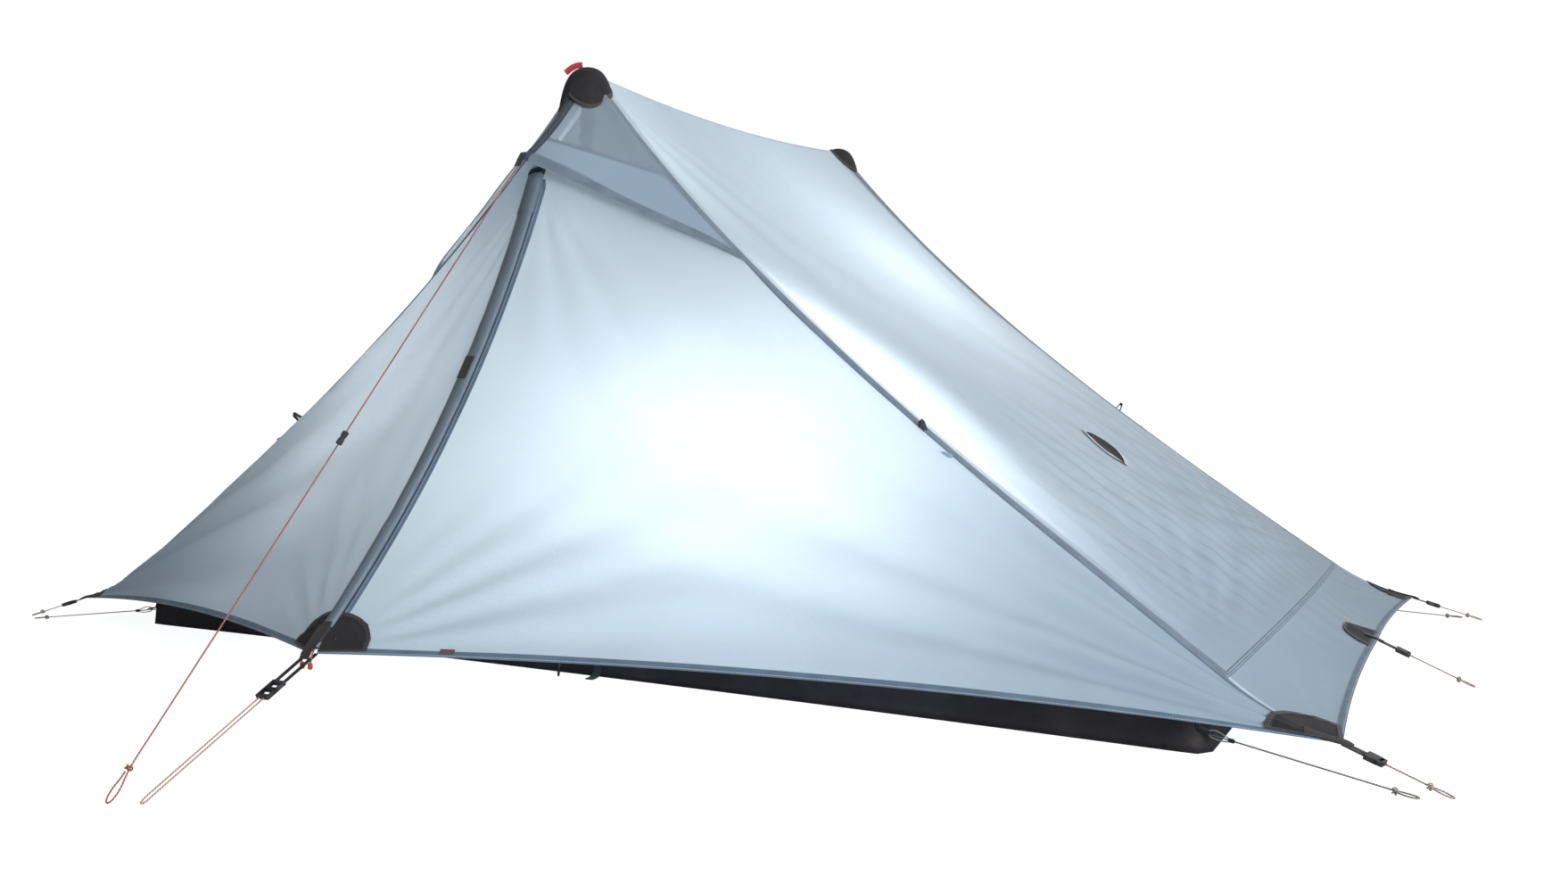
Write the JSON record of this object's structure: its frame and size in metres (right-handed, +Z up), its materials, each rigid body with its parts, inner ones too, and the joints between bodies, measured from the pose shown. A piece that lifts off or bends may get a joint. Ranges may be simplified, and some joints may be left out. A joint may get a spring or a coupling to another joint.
{
  "type": "trekking pole tent",
  "caption": "Single-wall trekking pole tent with roof panels, hoods, zipped storm doors, mesh walls, bathtub floor, guylines and telescopic poles.",
  "frame": {"origin": "on the ground under the middle of the floor", "axes": "+X along the sleeping length, +Y towards the far vestibule, +Z up"},
  "size_m": [3.3194, 3.4636, 1.2541],
  "materials": {
    "canopy_fabric": "thin coated ripstop, slightly translucent",
    "floor_fabric": "coated floor fabric",
    "mesh_fabric": "fine insect mesh",
    "patch_fabric": "heavy reinforcement fabric",
    "webbing": "woven black webbing",
    "black_plastic": "moulded acetal",
    "zip_plastic": "coil zip",
    "red_line": "braided cord with a pale tracer",
    "grey_line": "braided cord",
    "pole_alloy": "anodised tube",
    "grip_foam": "foam grip"
  },
  "bodies": {
    "tent": {"roof_right": "canopy_fabric", "roof_left": "canopy_fabric", "foot_panel_right": "canopy_fabric", "foot_panel_left": "canopy_fabric", "hood_near": "canopy_fabric", "hood_far": "canopy_fabric", "door_header_near": "canopy_fabric", "door_header_far": "canopy_fabric", "bathtub_floor": "floor_fabric", "mesh_wall_near": "mesh_fabric", "mesh_wall_far": "mesh_fabric", "peak_cap_near": "patch_fabric", "peak_cap_far": "patch_fabric", "vestibule_lock_near": "black_plastic", "vestibule_lock_far": "black_plastic", "corner_strap_near_right": "webbing", "corner_strap_near_left": "webbing", "corner_strap_far_right": "webbing", "corner_strap_far_left": "webbing", "end_strap_right": "webbing", "end_strap_left": "webbing", "pole_lower_near": "pole_alloy", "pole_lower_far": "pole_alloy", "hood_guyline_near": "red_line", "hood_guyline_far": "red_line", "vestibule_line_near": "red_line", "vestibule_line_far": "red_line", "end_guyline_right": "red_line", "end_guyline_left": "red_line", "corner_guyline_near_right": "red_line", "corner_guyline_near_left": "red_line", "corner_guyline_far_right": "red_line", "corner_guyline_far_left": "red_line", "floor_line_near_right": "grey_line", "floor_line_near_left": "grey_line", "floor_line_far_right": "grey_line", "floor_line_far_left": "grey_line"},
    "storm_door_near_right": {"storm_door_near_right": "canopy_fabric"},
    "storm_door_near_left": {"storm_door_near_left": "canopy_fabric", "zipper_chain_near": "zip_plastic", "storm_flap_near": "canopy_fabric"},
    "storm_door_far_right": {"storm_door_far_right": "canopy_fabric", "zipper_chain_far": "zip_plastic", "storm_flap_far": "canopy_fabric"},
    "storm_door_far_left": {"storm_door_far_left": "canopy_fabric"},
    "zipper_slider_near": {"zipper_slider_near": "zip_plastic"},
    "hood_tensioner_near": {"hood_tensioner_near": "black_plastic"},
    "mesh_door_near": {"mesh_door_near": "mesh_fabric"},
    "pole_middle_near": {"pole_middle_near": "pole_alloy"},
    "pole_upper_near": {"pole_upper_near": "grip_foam"},
    "pole_lever_middle_near": {"pole_lever_middle_near": "black_plastic"},
    "pole_lever_upper_near": {"pole_lever_upper_near": "black_plastic"},
    "zipper_slider_far": {"zipper_slider_far": "zip_plastic"},
    "hood_tensioner_far": {"hood_tensioner_far": "black_plastic"},
    "mesh_door_far": {"mesh_door_far": "mesh_fabric"},
    "pole_middle_far": {"pole_middle_far": "pole_alloy"},
    "pole_upper_far": {"pole_upper_far": "grip_foam"},
    "pole_lever_middle_far": {"pole_lever_middle_far": "black_plastic"},
    "pole_lever_upper_far": {"pole_lever_upper_far": "black_plastic"}
  },
  "joints": [
    {"name": "storm_door_near_right_swing", "type": "hinge", "parent": "tent", "child": "storm_door_near_right", "pos_m": [0.6975, -0.76976, 0.53665], "axis": [-0.8301, 0.0152, 0.5574], "range_deg": [0, 100]},
    {"name": "storm_door_near_left_swing", "type": "hinge", "parent": "tent", "child": "storm_door_near_left", "pos_m": [-0.6975, -0.76976, 0.53665], "axis": [-0.8301, -0.0152, -0.5574], "range_deg": [0, 100]},
    {"name": "storm_door_far_right_swing", "type": "hinge", "parent": "tent", "child": "storm_door_far_right", "pos_m": [0.6975, 0.76976, 0.53665], "axis": [0.8301, 0.0152, -0.5574], "range_deg": [0, 100]},
    {"name": "storm_door_far_left_swing", "type": "hinge", "parent": "tent", "child": "storm_door_far_left", "pos_m": [-0.6975, 0.76976, 0.53665], "axis": [0.8301, -0.0152, 0.5574], "range_deg": [0, 100]},
    {"name": "zipper_slider_near_run", "type": "hinge", "parent": "storm_door_near_left", "child": "zipper_slider_near", "pos_m": [0, -3.08148, 2.03944], "axis": [1, 0, 0], "range_deg": [0, 22]},
    {"name": "hood_tensioner_near_slide", "type": "slide", "parent": "tent", "child": "hood_tensioner_near", "axis": [0, -0.6717, -0.7408], "range_m": [-0.25, 0.25]},
    {"name": "mesh_door_near_swing", "type": "hinge", "parent": "tent", "child": "mesh_door_near", "pos_m": [0.57195, -0.6278, 0.587], "axis": [0.794, -0.0837, -0.6021], "range_deg": [0, 60]},
    {"name": "pole_middle_near_slide", "type": "slide", "parent": "tent", "child": "pole_middle_near", "axis": [0, -0.1079, -0.9942], "range_m": [0, 0.22]},
    {"name": "pole_upper_near_slide", "type": "slide", "parent": "pole_middle_near", "child": "pole_upper_near", "axis": [0, -0.1079, -0.9942], "range_m": [0, 0.22]},
    {"name": "pole_lever_middle_near_flip", "type": "hinge", "parent": "pole_middle_near", "child": "pole_lever_middle_near", "pos_m": [0.0155, -0.67232, 0.43942], "axis": [0, -0.1079, -0.9942], "range_deg": [0, 110]},
    {"name": "pole_lever_upper_near_flip", "type": "hinge", "parent": "pole_upper_near", "child": "pole_lever_upper_near", "pos_m": [0.0155, -0.63132, 0.8172], "axis": [0, -0.1079, -0.9942], "range_deg": [0, 110]},
    {"name": "zipper_slider_far_run", "type": "hinge", "parent": "storm_door_far_right", "child": "zipper_slider_far", "pos_m": [0, 3.08148, 2.03944], "axis": [-1, 0, 0], "range_deg": [0, 22]},
    {"name": "hood_tensioner_far_slide", "type": "slide", "parent": "tent", "child": "hood_tensioner_far", "axis": [0, 0.6717, -0.7408], "range_m": [-0.25, 0.25]},
    {"name": "mesh_door_far_swing", "type": "hinge", "parent": "tent", "child": "mesh_door_far", "pos_m": [-0.57195, 0.6278, 0.587], "axis": [-0.794, 0.0837, -0.6021], "range_deg": [0, 60]},
    {"name": "pole_middle_far_slide", "type": "slide", "parent": "tent", "child": "pole_middle_far", "axis": [0, 0.1079, -0.9942], "range_m": [0, 0.22]},
    {"name": "pole_upper_far_slide", "type": "slide", "parent": "pole_middle_far", "child": "pole_upper_far", "axis": [0, 0.1079, -0.9942], "range_m": [0, 0.22]},
    {"name": "pole_lever_middle_far_flip", "type": "hinge", "parent": "pole_middle_far", "child": "pole_lever_middle_far", "pos_m": [0.0155, 0.67232, 0.43942], "axis": [0, 0.1079, -0.9942], "range_deg": [0, 110]},
    {"name": "pole_lever_upper_far_flip", "type": "hinge", "parent": "pole_upper_far", "child": "pole_lever_upper_far", "pos_m": [0.0155, 0.63132, 0.8172], "axis": [0, 0.1079, -0.9942], "range_deg": [0, 110]}
  ]
}
